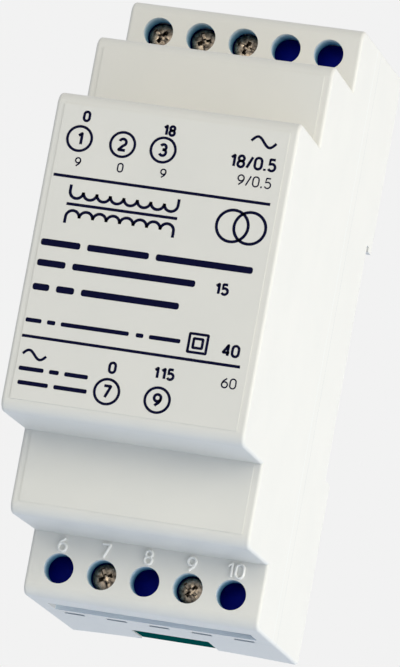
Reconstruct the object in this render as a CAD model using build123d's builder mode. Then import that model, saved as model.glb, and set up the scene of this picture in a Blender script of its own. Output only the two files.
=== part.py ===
"""Two-module transformer in a stepped housing that snaps onto a 35 mm rail.

Frame: +X runs along the rail, +Z is up as the part hangs on a wall, and the front faces -Y.
The origin is the middle of the rail seat, so everything behind the seat has a positive Y.
"""
import os

from build123d import *

os.makedirs("parts", exist_ok=True)

# Housing, outside
width = 35.0
height = 90.0
label_depth = 59.0
mid_depth = 44.0
terminal_depth = 28.5
terminal_step = 10.0
mid_step = 12.0
foot_depth = 3.8
end_taper = 0.65
front_round = 1.8
side_round = 0.5
wall = 1.8
rear_rim = 1.2
end_relief = 2.9
field_margin = 1.25
field_raise = 0.12

# Rail recess and the fixed hook above it
recess_height = 35.3
rail_slot = 1.4
rail_slot_rise = 0.7
seat_land = 0.2
seat_margin = 0.6

# Terminal row at each end
pole_count = 5
pole_side_margin = 1.5
row_from_end = 5.0
access_hole = 4.4
access_bar_wall = 0.7
access_depth = 3.1
wire_slot_side = 2.3
wire_slot_height = 5.2
wire_slot_setback = 6.5
vent_length = 3.1
vent_height = 1.4
vent_gap = 1.6
wired_upper = {"1": -2, "2": -1, "3": 0}
wired_lower = {"7": -1, "9": 1}

# Terminal screw, rising clamp and contact
screw_drop = 2.8
head_height = 2.1
head_round = 0.35
drive_width = 0.65
drive_length = 2.9
drive_depth = 0.9
thread_diameter = 2.9
clamp_travel = 1.6
clamp_depth = 4.0
clamp_top = 1.0
clamp_side = 0.8
clamp_floor = 0.7
clamp_edge = 0.4
wire_gap = 3.0
contact_thickness = 0.6
contact_bend = 0.5
tag_length = 5.0
tag_clearance = 1.4

# Terminal block
block_plate = 0.5
block_floor = 1.2
block_partition = 1.0
block_inner_wall = 1.2
block_behind_row = 4.6
block_leg = 2.2

# Base and rail clip
base_plate = 2.4
foot_wall = 1.6
cradle_ear = 2.0
cradle_rib = 3.0
cradle_grip = 4.0
clip_width = 11.4
clip_thickness = 4.0
clip_rear_setback = 0.8
clip_tongue = 1.0
clip_hook_grip = 2.55
clip_hook_thickness = 1.7
clip_hook_tip = 0.5
clip_lead_in = 1.9
clip_shoulder_drop = 0.35
clip_end_inset = 0.3
clip_tab_reach = 5.4
clip_tab_height = 2.5
clip_heel = 2.0
clip_heel_rise = 1.2
clip_round = 0.4
clip_travel = 3.0
tool_slot_width = 6.0
tool_slot_height = 1.6
tool_slot_depth = 2.0
tool_slot_rise = 1.9

# Clip spring and its post
spring_length = 9.0
spring_width = 3.0
spring_depth = 3.0
spring_strip = 0.3
spring_folds = 4
spring_seat_rise = 8.0
post_height = 1.6
pocket_margin = 0.6

# Transformer core, bobbin and windings
core_front_gap = 0.6
core_rear_room = 8.6
core_end_gap = 1.2
bobbin_wall = 0.8
bobbin_flange = 1.0
bobbin_side_gap = 1.2
winding_gap = 1.0
winding_inset = 0.5
flange_corner = 1.5

# Thermistor and leads
thermistor_diameter = 6.6
thermistor_thickness = 3.0
lead_diameter = 1.0
lead_straight = 2.0
lead_beside_core = 2.5
lead_spread = 3.0

# Clearances
slide_gap = 0.2
fit_gap = 0.1
touch_gap = 0.05

# Sizes that follow from the ones above
half_width = width / 2
half_height = height / 2
half_recess = recess_height / 2
inner_half_width = half_width - wall
mid_height = height - 2 * terminal_step
label_height = mid_height - 2 * mid_step
row_from_middle = half_height - row_from_end
pole_pitch = (width - 2 * pole_side_margin) / pole_count
wire_slot_length = width - 2 * wire_slot_side
head_diameter = access_hole - 2 * slide_gap
pocket_width = pole_pitch - block_partition
clamp_width = pocket_width - 2 * slide_gap
contact_width = clamp_width - 2 * clamp_side - 2 * slide_gap

# Levels along Y, from the terminal face to the rear of the terminal block
terminal_face = -terminal_depth
head_top = terminal_face + screw_drop
head_under = head_top + head_height
plate_front = head_under + touch_gap
plate_rear = plate_front + block_plate
clamp_closed = plate_rear + touch_gap
clamp_open = clamp_closed + clamp_travel
contact_front = clamp_open + clamp_top + touch_gap
contact_rear = contact_front + contact_thickness
clamp_floor_front = contact_rear + wire_gap
clamp_rear = clamp_floor_front + clamp_floor
block_floor_front = clamp_rear + slide_gap
block_rear = block_floor_front + block_floor
wire_slot_front = terminal_face + wire_slot_setback
wire_slot_rear = wire_slot_front + wire_slot_height
vent_front = wire_slot_rear + vent_gap

# Levels along Z
block_outer = half_height - end_taper - wall - fit_gap
block_inner = row_from_middle - block_behind_row
tag_face = block_inner - tag_clearance

# Core, bobbin and windings fill the housing behind the label
core_depth = label_depth - wall - core_front_gap - core_rear_room
core_leg = core_depth / 6
core_height = label_height - 2 * wall - 2 * core_end_gap
core_window_length = core_height - 2 * core_leg
core_front = -label_depth + wall + core_front_gap
core_rear = core_front + core_depth
core_middle = (core_front + core_rear) / 2
winding_build = core_leg - slide_gap - bobbin_wall - winding_gap
flange_half_x = inner_half_width - bobbin_side_gap
flange_half_y = 2 * core_leg - slide_gap
tube_half_x = flange_half_x - winding_inset - winding_build
tube_half_y = core_leg + slide_gap + bobbin_wall
core_stack = 2 * (tube_half_x - bobbin_wall - slide_gap)
chamber_low = -core_window_length / 2 + slide_gap + bobbin_flange
chamber_high = core_window_length / 2 - slide_gap - bobbin_flange

# Leads leave beside the core and meet the solder tags near their ends
lead_side = core_stack / 2 + lead_beside_core
lead_y = contact_rear - tag_length + lead_diameter


def facing_back(x, y, z):
    """Plane at a point whose normal points to the rear, for bores and screws seen from the front."""
    return Plane(origin=(x, y, z), x_dir=(1, 0, 0), z_dir=(0, 1, 0))


def save(part, name):
    part.label = name
    export_step(part, f"parts/{name}.step")


def pole_x(index):
    return index * pole_pitch


lead_starts = {
    "1": (pole_x(wired_upper["1"]), 1),
    "2": (-lead_side, 1),
    "3": (lead_side + lead_spread, 1),
    "7": (-lead_side, -1),
}

pole_indexes = range(-(pole_count // 2), pole_count // 2 + 1)


# Housing: three tiers, stepped back towards each end
with BuildPart() as hood:
    with BuildSketch(Plane.YZ):
        with BuildLine():
            Polyline(
                (foot_depth, -half_height),
                (terminal_face, -half_height + end_taper),
                (terminal_face, half_height - end_taper),
                (foot_depth, half_height),
                close=True,
            )
        make_face()
        fillet(vertices().sort_by(Axis.X)[:2], front_round)
    extrude(amount=half_width, both=True)
    for depth, tall in ((mid_depth, mid_height), (label_depth, label_height)):
        with BuildSketch(Plane.YZ) as tier:
            with Locations((-depth / 2, 0)):
                Rectangle(depth, tall)
            fillet(tier.vertices().sort_by(Axis.X)[:2], front_round)
        extrude(amount=half_width, both=True)
    side_edges = (
        hood.faces().filter_by(Axis.X).sort_by(Axis.X)[0].edges()
        + hood.faces().filter_by(Axis.X).sort_by(Axis.X)[-1].edges()
    )
    fillet([edge for edge in side_edges if edge.center().Y < foot_depth - touch_gap], side_round)

    # Raised fields on the front faces, inside the side margins
    mid_flat = mid_height / 2 - front_round
    mid_field = (label_height / 2 + mid_flat) / 2
    fields = (
        (label_depth, 0, label_height - 2 * front_round),
        (mid_depth, mid_field, mid_flat - label_height / 2),
        (mid_depth, -mid_field, mid_flat - label_height / 2),
    )
    for depth, middle, tall in fields:
        with BuildSketch(facing_back(0, -depth, 0)):
            with Locations((0, middle)):
                Rectangle(width - 2 * field_margin, tall)
        extrude(amount=-field_raise)

    # Hollow inside, open at the rear
    with BuildSketch(Plane.YZ):
        with BuildLine():
            Polyline(
                (foot_depth, -half_height + wall),
                (terminal_face + wall, -half_height + end_taper + wall),
                (terminal_face + wall, half_height - end_taper - wall),
                (foot_depth, half_height - wall),
                close=True,
            )
        make_face()
        for depth, tall in ((mid_depth, mid_height), (label_depth, label_height)):
            with Locations((-(depth - wall) / 2, 0)):
                Rectangle(depth - wall, tall - 2 * wall)
    extrude(amount=inner_half_width, both=True, mode=Mode.SUBTRACT)

    # Rabbet that the base drops into
    with BuildSketch(facing_back(0, -base_plate, 0)):
        Rectangle(width - 2 * rear_rim, height - 2 * rear_rim)
    extrude(amount=base_plate + foot_depth, mode=Mode.SUBTRACT)

    # Rail recess through both side walls, with the slot of the fixed hook
    with BuildSketch(Plane.YZ):
        with Locations((foot_depth / 2, 0)):
            Rectangle(foot_depth, recess_height)
        with Locations((rail_slot / 2, half_recess)):
            Rectangle(rail_slot, 2 * rail_slot_rise)
    extrude(amount=half_width, both=True, mode=Mode.SUBTRACT)

    # Access holes over the terminals, deepened by a bar behind the face
    bar_height = access_hole + 2 * access_bar_wall
    for row in (-row_from_middle, row_from_middle):
        with Locations((0, terminal_face + (wall + access_depth) / 2, row)):
            Box((pole_count - 1) * pole_pitch + bar_height, access_depth - wall, bar_height)
        for index in pole_indexes:
            with BuildSketch(facing_back(pole_x(index), terminal_face, row)):
                Circle(access_hole / 2)
            extrude(amount=access_depth, mode=Mode.SUBTRACT)

    # Wire slot and vents in each end wall
    end_wall_middle = half_height - end_taper / 2 - wall / 2
    for row in (-end_wall_middle, end_wall_middle):
        with Locations((0, (wire_slot_front + wire_slot_rear) / 2, row)):
            Box(wire_slot_length, wire_slot_height, 2 * wall, mode=Mode.SUBTRACT)
        for index in pole_indexes:
            with Locations((pole_x(index), vent_front + vent_height / 2, row)):
                Box(vent_length, vent_height, 2 * wall, mode=Mode.SUBTRACT)

    # Arched rear edge of the lower end wall, so that a driver reaches the clip
    with BuildSketch(Plane.XY.offset(-half_height)):
        with BuildLine():
            ThreePointArc((-half_width, foot_depth), (0, foot_depth - end_relief), (half_width, foot_depth))
            Line((half_width, foot_depth), (-half_width, foot_depth))
        make_face()
    extrude(amount=rear_rim, mode=Mode.SUBTRACT)

    # Notch in the lower end wall for the clip's tab
    notch_front = foot_depth - clip_rear_setback - clip_thickness - clip_tab_reach - 2 * slide_gap
    with Locations((0, (notch_front + foot_depth) / 2, -end_wall_middle)):
        Box(clip_width + 2 * slide_gap, foot_depth - notch_front, 2 * wall, mode=Mode.SUBTRACT)
save(hood.part, "hood")


# Rail clip: a sliding bar with a hook, a pull tab and a pocket for its spring
clip_rear = foot_depth - clip_rear_setback
clip_front = clip_rear - clip_thickness
clip_top = -half_recess - clip_shoulder_drop
clip_bottom = -half_height + clip_end_inset
hook_tip = -half_recess + clip_hook_grip
hook_front = clip_rear - clip_hook_thickness
spring_middle = clip_front - slide_gap + fit_gap + spring_depth / 2
post_bottom = clip_bottom + spring_seat_rise - post_height
spring_bottom = post_bottom + post_height
spring_top = spring_bottom + spring_length
pocket_low = post_bottom - fit_gap
pocket_high = spring_top + touch_gap
pocket_half = spring_width / 2 + pocket_margin

with BuildPart() as clip:
    with BuildSketch(Plane.YZ):
        with BuildLine():
            Polyline(
                (clip_front, clip_top),
                (hook_front, clip_top),
                (hook_front, hook_tip),
                (hook_front + clip_hook_tip, hook_tip),
                (clip_rear, hook_tip - clip_lead_in),
                (clip_rear, clip_bottom + clip_heel_rise),
                (clip_rear - clip_heel, clip_bottom),
                (clip_front - clip_tab_reach, clip_bottom),
                (clip_front - clip_tab_reach, clip_bottom + clip_tab_height),
                (clip_front, clip_bottom + clip_tab_height),
                close=True,
            )
        make_face()
    extrude(amount=clip_width / 2, both=True)
    fillet(clip.edges().group_by(Axis.Z)[0].filter_by(Axis.X), clip_round)
    tongue_low = -half_height + rear_rim + clip_travel + slide_gap
    tongue_high = clip_top - clip_travel
    with Locations((0, clip_front + clip_tongue / 2, (tongue_low + tongue_high) / 2)):
        Box(clip_width + 2 * clip_tongue, clip_tongue, tongue_high - tongue_low)
    with Locations((0, clip_front + spring_depth / 2, (pocket_low + pocket_high) / 2)):
        Box(2 * pocket_half, spring_depth, pocket_high - pocket_low, mode=Mode.SUBTRACT)
    with Locations((0, clip_rear - tool_slot_depth / 2, clip_bottom + tool_slot_rise + tool_slot_height / 2)):
        Box(tool_slot_width, tool_slot_depth, tool_slot_height, mode=Mode.SUBTRACT)
save(clip.part, "rail_clip")


# Clip spring: a folded strip of spring steel between the post of the base and the top of the clip's pocket
rung_pitch = (spring_length - spring_strip) / spring_folds
rung_reach = (spring_depth - rung_pitch - spring_strip) / 2
with BuildPart() as spring:
    with BuildSketch(Plane.YZ.offset(-spring_width / 2)):
        with BuildLine():
            for rung in range(spring_folds + 1):
                level = spring_bottom + spring_strip / 2 + rung * rung_pitch
                side = 1 if rung % 2 else -1
                rung_end = spring_middle + side * rung_reach
                Line((spring_middle - side * rung_reach, level), (rung_end, level))
                if rung < spring_folds:
                    ThreePointArc(
                        (rung_end, level),
                        (rung_end + side * rung_pitch / 2, level + rung_pitch / 2),
                        (rung_end, level + rung_pitch),
                    )
        trace(line_width=spring_strip)
    extrude(amount=spring_width)
save(spring.part, "clip_spring")


# Base: rail seat, two feet, clip channel and the cradle that carries the core
base_half_width = half_width - rear_rim - fit_gap
base_half_height = half_height - rear_rim - fit_gap
channel_floor = clip_front - slide_gap
slot_half_width = clip_width / 2 + slide_gap
tongue_half_width = slot_half_width + clip_tongue
pocket_rear = foot_depth - foot_wall
cradle_half = core_stack / 2 + slide_gap

with BuildPart() as base:
    with BuildSketch(Plane.YZ):
        with BuildLine():
            Polyline(
                (-base_plate, -base_half_height),
                (-base_plate, base_half_height),
                (foot_depth, base_half_height),
                (foot_depth, half_recess),
                (rail_slot, half_recess),
                (rail_slot, half_recess + rail_slot_rise),
                (-seat_land, half_recess + rail_slot_rise),
                (-seat_land, -half_recess),
                (foot_depth, -half_recess),
                (foot_depth, -base_half_height),
                close=True,
            )
        make_face()
    extrude(amount=base_half_width, both=True)

    # Land that the rail rests on, clear of the fixed hook and of the clip's hook
    land_high = half_recess - seat_margin
    land_low = hook_tip + seat_margin
    with Locations((0, -seat_land / 2, (land_low + land_high) / 2)):
        Box(2 * base_half_width, seat_land, land_high - land_low)

    # Feet cored out from inside, leaving walls and ribs
    upper_low = half_recess + rail_slot_rise + foot_wall
    upper_high = base_half_height - foot_wall
    side_inner = tongue_half_width + foot_wall
    side_outer = base_half_width - foot_wall
    core_y = (pocket_rear - base_plate) / 2
    for side in (-1, 1):
        with Locations((side * (side_outer + foot_wall / 2) / 2, core_y, (upper_low + upper_high) / 2)):
            Box(
                side_outer - foot_wall / 2,
                pocket_rear + base_plate,
                upper_high - upper_low,
                mode=Mode.SUBTRACT,
            )
        with Locations((side * (side_inner + side_outer) / 2, core_y, -(half_recess + foot_wall + upper_high) / 2)):
            Box(
                side_outer - side_inner,
                pocket_rear + base_plate,
                upper_high - half_recess - foot_wall,
                mode=Mode.SUBTRACT,
            )

    # Clip channel with side grooves, open at the recess and at the lower end
    channel_middle = -(half_recess + base_half_height) / 2
    channel_length = base_half_height - half_recess
    with Locations((0, (channel_floor + foot_depth) / 2, channel_middle)):
        Box(2 * slot_half_width, foot_depth - channel_floor, channel_length, mode=Mode.SUBTRACT)
    groove_high = tongue_high + slide_gap
    with Locations((0, channel_floor + clip_tongue / 2 + slide_gap, (groove_high - base_half_height) / 2)):
        Box(
            2 * tongue_half_width,
            clip_tongue + 2 * slide_gap,
            base_half_height + groove_high,
            mode=Mode.SUBTRACT,
        )
    tab_room = clip_bottom + clip_tab_height + slide_gap
    with Locations((0, -base_plate / 2, (tab_room - base_half_height) / 2)):
        Box(2 * tongue_half_width, base_plate, base_half_height + tab_room, mode=Mode.SUBTRACT)

    # Post that the spring pushes against
    post_rear = spring_middle + spring_depth / 2 - fit_gap
    with Locations((0, (channel_floor + post_rear) / 2, post_bottom + post_height / 2)):
        Box(spring_width, post_rear - channel_floor, post_height)

    # Cradle ribs under the core, with ears on both sides of the stack
    cradle_rise = -base_plate - core_rear
    for end in (-1, 1):
        cradle_z = end * (core_height / 2 - core_leg / 2)
        with Locations((0, (core_rear - base_plate) / 2, cradle_z)):
            Box(2 * (cradle_half + cradle_ear), cradle_rise, cradle_rib)
        for side in (-1, 1):
            with Locations((side * (cradle_half + cradle_ear / 2), core_rear - cradle_grip / 2, cradle_z)):
                Box(cradle_ear, cradle_grip, cradle_rib)
save(base.part, "base")


# Terminal blocks: a comb of pockets, one for each pole, on two legs that stand on the base.
# Only a pole with a terminal has its screw window and the slot for its contact.
def terminal_block(wired, end):
    block_half_width = inner_half_width - fit_gap
    pocket_inner = block_inner + block_inner_wall
    screw_window = thread_diameter + 2 * slide_gap
    row = end * row_from_middle
    with BuildPart() as block:
        with Locations((0, (plate_front + block_rear) / 2, end * (block_inner + block_outer) / 2)):
            Box(2 * block_half_width, block_rear - plate_front, block_outer - block_inner)
        for side in (-1, 1):
            leg_x = side * (block_half_width - block_leg / 2)
            with Locations((leg_x, (block_rear - base_plate) / 2, end * (block_inner + block_outer) / 2)):
                Box(block_leg, -base_plate - block_rear, block_outer - block_inner)
        for index in pole_indexes:
            pocket_y = (plate_rear + block_floor_front) / 2
            with Locations((pole_x(index), pocket_y, end * (pocket_inner + block_outer) / 2)):
                Box(pocket_width, block_floor_front - plate_rear, block_outer - pocket_inner, mode=Mode.SUBTRACT)
            if index not in wired.values():
                continue
            with Locations((pole_x(index), (plate_front + plate_rear) / 2, row)):
                Box(screw_window, block_plate, screw_window, mode=Mode.SUBTRACT)
            contact_y = (contact_front + contact_rear) / 2
            with Locations((pole_x(index), contact_y, end * (block_inner + pocket_inner) / 2)):
                Box(
                    contact_width + 2 * fit_gap,
                    contact_thickness + 2 * touch_gap,
                    block_inner_wall,
                    mode=Mode.SUBTRACT,
                )
    return block.part


save(terminal_block(wired_upper, 1), "upper_terminal_block")
save(terminal_block(wired_lower, -1), "lower_terminal_block")


# Terminal parts of one pole: screw, rising clamp and contact with its solder tag
def terminal_screw(x, row):
    with BuildPart() as screw:
        with BuildSketch(facing_back(x, head_top, row)):
            Circle(head_diameter / 2)
        extrude(amount=head_height)
        chamfer(screw.edges().sort_by(Axis.Y)[0], head_round)
        with BuildSketch(facing_back(x, head_under, row)):
            Circle(thread_diameter / 2)
        extrude(amount=contact_front - touch_gap - head_under)
        with BuildSketch(facing_back(x, head_top, row)):
            Rectangle(drive_length, drive_width)
            Rectangle(drive_width, drive_length)
        extrude(amount=drive_depth, mode=Mode.SUBTRACT)
    return screw.part


def rising_clamp(x, row):
    with BuildPart() as clamp:
        with Locations((x, (clamp_open + clamp_rear) / 2, row)):
            Box(clamp_width, clamp_rear - clamp_open, clamp_depth)
        chamfer(clamp.edges().filter_by(Axis.Z), clamp_edge)
        window_front = clamp_open + clamp_top
        with Locations((x, (window_front + clamp_floor_front) / 2, row)):
            Box(
                clamp_width - 2 * clamp_side,
                clamp_floor_front - window_front,
                clamp_depth,
                mode=Mode.SUBTRACT,
            )
        with BuildSketch(facing_back(x, clamp_open, row)):
            Circle(thread_diameter / 2 + fit_gap)
        extrude(amount=clamp_top, mode=Mode.SUBTRACT)
    return clamp.part


def contact(x, end):
    outer_end = block_outer - fit_gap
    with BuildPart() as strip:
        with BuildSketch(Plane.YZ.offset(x - contact_width / 2)) as section:
            with BuildLine():
                Polyline(
                    (contact_rear, end * outer_end),
                    (contact_rear, end * tag_face),
                    (contact_rear - tag_length, end * tag_face),
                    (contact_rear - tag_length, end * (tag_face + contact_thickness)),
                    (contact_front, end * (tag_face + contact_thickness)),
                    (contact_front, end * outer_end),
                    close=True,
                )
            make_face()
        extrude(amount=contact_width)
        outer_bend = strip.edges().filter_by(Axis.X).sort_by(Axis.Y).group_by(Axis.Y)[-1]
        fillet(outer_bend.sort_by(Axis.Z, reverse=end > 0)[-1], contact_bend)
    return strip.part


for wired, end in ((wired_upper, 1), (wired_lower, -1)):
    for pole, index in wired.items():
        save(terminal_screw(pole_x(index), end * row_from_middle), f"terminal_screw_{pole}")
        save(rising_clamp(pole_x(index), end * row_from_middle), f"rising_clamp_{pole}")
        save(contact(pole_x(index), end), f"contact_{pole}")


# Core: an E stack standing on its back with an I stack closing it on top
half_core = core_height / 2
with BuildPart() as core_e:
    with Locations((0, core_middle, -core_leg / 2)):
        Box(core_stack, core_depth, core_height - core_leg)
    for side in (-1, 1):
        with Locations((0, core_middle + side * 1.5 * core_leg, 0)):
            Box(core_stack, core_leg, core_window_length, mode=Mode.SUBTRACT)
save(core_e.part, "core_e_stack")

with BuildPart() as core_i:
    with Locations((0, core_middle, half_core - core_leg / 2)):
        Box(core_stack, core_depth, core_leg)
save(core_i.part, "core_i_stack")


# Bobbin: a square tube on the middle leg with three flanges
with BuildPart() as bobbin:
    tube_length = chamber_high - chamber_low + 2 * bobbin_flange
    with BuildSketch(Plane.XY.offset(-tube_length / 2)):
        with Locations((0, core_middle)):
            Rectangle(2 * tube_half_x, 2 * tube_half_y)
    extrude(amount=tube_length)
    for level in (chamber_low - bobbin_flange / 2, 0, chamber_high + bobbin_flange / 2):
        with BuildSketch(Plane.XY.offset(level - bobbin_flange / 2)) as flange:
            with Locations((0, core_middle)):
                Rectangle(2 * flange_half_x, 2 * flange_half_y)
            chamfer(flange.vertices(), flange_corner)
        extrude(amount=bobbin_flange)
    with Locations((0, core_middle, 0)):
        Box(
            2 * (tube_half_x - bobbin_wall),
            2 * (tube_half_y - bobbin_wall),
            tube_length,
            mode=Mode.SUBTRACT,
        )
    notch_half = lead_diameter / 2 + slide_gap
    notch_length = core_middle + flange_half_y - lead_y + notch_half
    for start_x, end in lead_starts.values():
        notch_y = core_middle + flange_half_y - notch_length / 2
        with Locations((start_x, notch_y, end * (chamber_high + bobbin_flange / 2))):
            Box(2 * notch_half, notch_length, bobbin_flange, mode=Mode.SUBTRACT)
save(bobbin.part, "bobbin")


# Windings: rings between two flanges, with corners as round as the turns below them make them
def winding(low, high, inside, outside):
    """Ring around the tube, from one distance off the tube to another."""
    with BuildPart() as turns:
        with BuildSketch(Plane.XY.offset(low)):
            with Locations((0, core_middle)):
                RectangleRounded(2 * (tube_half_x + outside), 2 * (tube_half_y + outside), outside)
                if inside > 0:
                    RectangleRounded(
                        2 * (tube_half_x + inside),
                        2 * (tube_half_y + inside),
                        inside,
                        mode=Mode.SUBTRACT,
                    )
                else:
                    Rectangle(2 * tube_half_x, 2 * tube_half_y, mode=Mode.SUBTRACT)
        extrude(amount=high - low)
    return turns.part


primary_low = chamber_low + touch_gap
primary_high = -bobbin_flange / 2 - touch_gap
secondary_low = bobbin_flange / 2 + touch_gap
secondary_high = chamber_high - touch_gap
save(winding(primary_low, primary_high, 0, winding_build), "primary_winding")
save(winding(secondary_low, secondary_high, 0, winding_build / 2), "inner_secondary_winding")
save(winding(secondary_low, secondary_high, winding_build / 2, winding_build), "outer_secondary_winding")


# Thermistor: a disc that lies against the primary winding
coil_front = core_middle - tube_half_y - winding_build
thermistor_y = coil_front - touch_gap - thermistor_thickness
thermistor_z = (primary_low + primary_high) / 2
thermistor_side = flange_half_x - thermistor_diameter / 2 - slide_gap
with BuildPart() as thermistor:
    with BuildSketch(facing_back(thermistor_side, thermistor_y, thermistor_z)):
        Circle(thermistor_diameter / 2)
    extrude(amount=thermistor_thickness)
save(thermistor.part, "thermistor")


# Leads: round wires from the windings, and from the thermistor, to the solder tags
def lead(*route):
    with BuildPart() as wire:
        with BuildLine() as path:
            Polyline(*route)
        with BuildSketch(Plane(origin=path.line @ 0, z_dir=path.line % 0)):
            Circle(lead_diameter / 2)
        sweep(transition=Transition.RIGHT)
    return wire.part


past_core = half_core + lead_straight
tag_touch = tag_face - touch_gap
for pole, (start_x, end) in lead_starts.items():
    tag_x = pole_x({**wired_upper, **wired_lower}[pole])
    start = (start_x, lead_y, end * (chamber_high + touch_gap))
    step_out = (start_x, lead_y, end * past_core)
    step_in = (tag_x, lead_y, end * (tag_touch - 2 * lead_straight))
    finish = (tag_x, lead_y, end * tag_touch)
    route = [start, finish] if start_x == tag_x else [start, step_out, step_in, finish]
    save(lead(*route), f"lead_{pole}")

thermistor_middle = thermistor_y + thermistor_thickness / 2
thermistor_foot = thermistor_z - thermistor_diameter / 2 - touch_gap
thermistor_pole_x = pole_x(wired_lower["9"])
thermistor_lead = lead(
    (thermistor_side, thermistor_middle, thermistor_foot),
    (thermistor_side, thermistor_middle, thermistor_foot - 3 * lead_straight),
    (thermistor_side, lead_y, thermistor_foot - 3 * lead_straight),
    (thermistor_pole_x, lead_y, -tag_touch + 2 * lead_straight),
    (thermistor_pole_x, lead_y, -tag_touch),
)
save(thermistor_lead, "lead_9")
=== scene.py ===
# %% [markdown]
# A transformer for an equipment rail, dressed for its picture
#
# The solid model already holds every piece at its real size: the stepped housing, the terminals behind
# its ten holes, the green clip and the wound core. This lesson gives each piece its finish, prints the
# label and sets the light and the camera. Nothing that the solid model made is moved.

# %% Load the solid model
import math

import bmesh
import bpy
from mathutils import Matrix, Quaternion, Vector


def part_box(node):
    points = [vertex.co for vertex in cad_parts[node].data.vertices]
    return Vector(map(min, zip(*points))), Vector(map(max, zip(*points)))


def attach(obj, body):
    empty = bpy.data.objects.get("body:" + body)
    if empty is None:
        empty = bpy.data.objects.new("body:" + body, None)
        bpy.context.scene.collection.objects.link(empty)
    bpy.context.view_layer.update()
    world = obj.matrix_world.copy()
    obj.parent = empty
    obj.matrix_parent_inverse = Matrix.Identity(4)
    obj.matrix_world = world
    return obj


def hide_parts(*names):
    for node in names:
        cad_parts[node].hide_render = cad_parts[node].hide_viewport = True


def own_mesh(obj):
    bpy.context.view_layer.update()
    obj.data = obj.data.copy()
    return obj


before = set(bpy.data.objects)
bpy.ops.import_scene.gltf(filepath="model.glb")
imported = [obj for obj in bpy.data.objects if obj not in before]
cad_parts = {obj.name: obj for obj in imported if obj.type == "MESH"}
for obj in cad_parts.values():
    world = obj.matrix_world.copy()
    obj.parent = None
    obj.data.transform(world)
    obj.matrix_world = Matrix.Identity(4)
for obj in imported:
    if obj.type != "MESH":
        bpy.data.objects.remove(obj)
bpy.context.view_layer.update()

MM = 0.001
ROOT = "transformer"

# %% [markdown]
# Where things are
#
# Places could be typed in again, but then they would drift from the solid model when a size changes. The
# boxes of the nodes give them instead: the housing gives the label face, the screws give the rows of
# holes.

# %% Measure the faces that the pieces sit on
LABEL_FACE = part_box("hood")[0].y


def middle_of(node):
    low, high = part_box(node)
    return (low + high) / 2


POLE_PITCH = middle_of("terminal_screw_2").x - middle_of("terminal_screw_1").x
UPPER_ROW = middle_of("terminal_screw_1").z
LOWER_ROW = middle_of("terminal_screw_7").z
TERMINAL_FACE = min(point.co.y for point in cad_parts["hood"].data.vertices if point.co.z > UPPER_ROW)
print(f"label face {LABEL_FACE / MM:.2f} mm, terminal face {TERMINAL_FACE / MM:.2f} mm")
print(f"pitch of the poles {POLE_PITCH / MM:.2f} mm")

# %% [markdown]
# Colours and nodes
#
# Colours are easiest to read as the hex values that a colour picker shows, while shaders want linear
# light, so one function converts them. One more function adds any shader or geometry node: plain settings
# become its properties, and each input gets either a value or a link.


# %% Helpers for colours and nodes
def linear(code):
    """Linear colour of an sRGB hex value."""
    channels = [int(code[i : i + 2], 16) / 255 for i in (1, 3, 5)]
    return tuple(c / 12.92 if c <= 0.04045 else ((c + 0.055) / 1.055) ** 2.4 for c in channels) + (1.0,)


def add(tree, kind, inputs=None, **settings):
    """One node in a tree, with its settings, and its inputs' values or links."""
    node = tree.nodes.new(kind)
    for name, value in settings.items():
        setattr(node, name, value)
    for name, value in (inputs or {}).items():
        if isinstance(value, bpy.types.NodeSocket):
            tree.links.new(value, node.inputs[name])
        else:
            node.inputs[name].default_value = value
    return node


def new_material(name):
    material = bpy.data.materials.new(name)
    material.use_nodes = True
    material.node_tree.nodes.clear()
    return material, material.node_tree


def per_mm(size):
    """Texture scale at which one feature of the pattern is about this many millimetres wide."""
    return 1 / (size * MM)


print("middle grey as light:", round(linear("#808080")[0], 3))

# %% [markdown]
# Moulded plastic
#
# Housing, base, clip, terminal blocks and bobbin are injection mouldings. Their mould was spark eroded,
# which leaves a fine satin grain, and the melt cools with faint cloudy variation. A bitmap could show
# that, but noise in object space has no seams and its scale can be given in millimetres. The real grain
# is about 0.05 mm, too fine for the picture, so it is drawn at 0.3 mm.

# %% Moulded plastic
PLASTIC_IOR = 1.53
GRAIN_SPREAD = 0.06
GRAIN_DEPTH = 0.004 * MM
GRAIN_STRENGTH = 0.5


def moulded_plastic(name, colour, cloud_colour, roughness, shine=0.5, cloud_mm=9.0, grain_mm=0.3):
    material, tree = new_material(name)
    place = add(tree, "ShaderNodeTexCoord").outputs["Object"]
    cloud = add(tree, "ShaderNodeTexNoise", {"Vector": place, "Scale": per_mm(cloud_mm), "Detail": 3.0})
    tint = add(tree, "ShaderNodeMix", {"Factor": cloud.outputs["Fac"]}, data_type="RGBA")
    tint.inputs["A"].default_value = linear(colour)
    tint.inputs["B"].default_value = linear(cloud_colour)
    grain = add(tree, "ShaderNodeTexNoise", {"Vector": place, "Scale": per_mm(grain_mm), "Detail": 2.0})
    gloss = add(tree, "ShaderNodeMapRange", {"Value": grain.outputs["Fac"]})
    gloss.inputs["To Min"].default_value = roughness - GRAIN_SPREAD
    gloss.inputs["To Max"].default_value = roughness + GRAIN_SPREAD
    bump = add(
        tree,
        "ShaderNodeBump",
        {"Height": grain.outputs["Fac"], "Strength": GRAIN_STRENGTH, "Distance": GRAIN_DEPTH},
    )
    shader = add(
        tree,
        "ShaderNodeBsdfPrincipled",
        {
            "Base Color": tint.outputs["Result"],
            "Roughness": gloss.outputs["Result"],
            "Normal": bump.outputs["Normal"],
            "Specular IOR Level": shine,
            "IOR": PLASTIC_IOR,
        },
    )
    add(tree, "ShaderNodeOutputMaterial", {"Surface": shader.outputs["BSDF"]})
    return material


# Off a spark eroded mould the housing is an even satin grey that takes light softly.
HOUSING = moulded_plastic("moulded ABS, light grey", "#dfded9", "#d8d8d4", 0.46, shine=0.28)
# The base is a little darker and more matt, so its joint with the housing shows.
BASE = moulded_plastic("moulded PA, light grey", "#d2d2ce", "#cacac6", 0.5)
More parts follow.
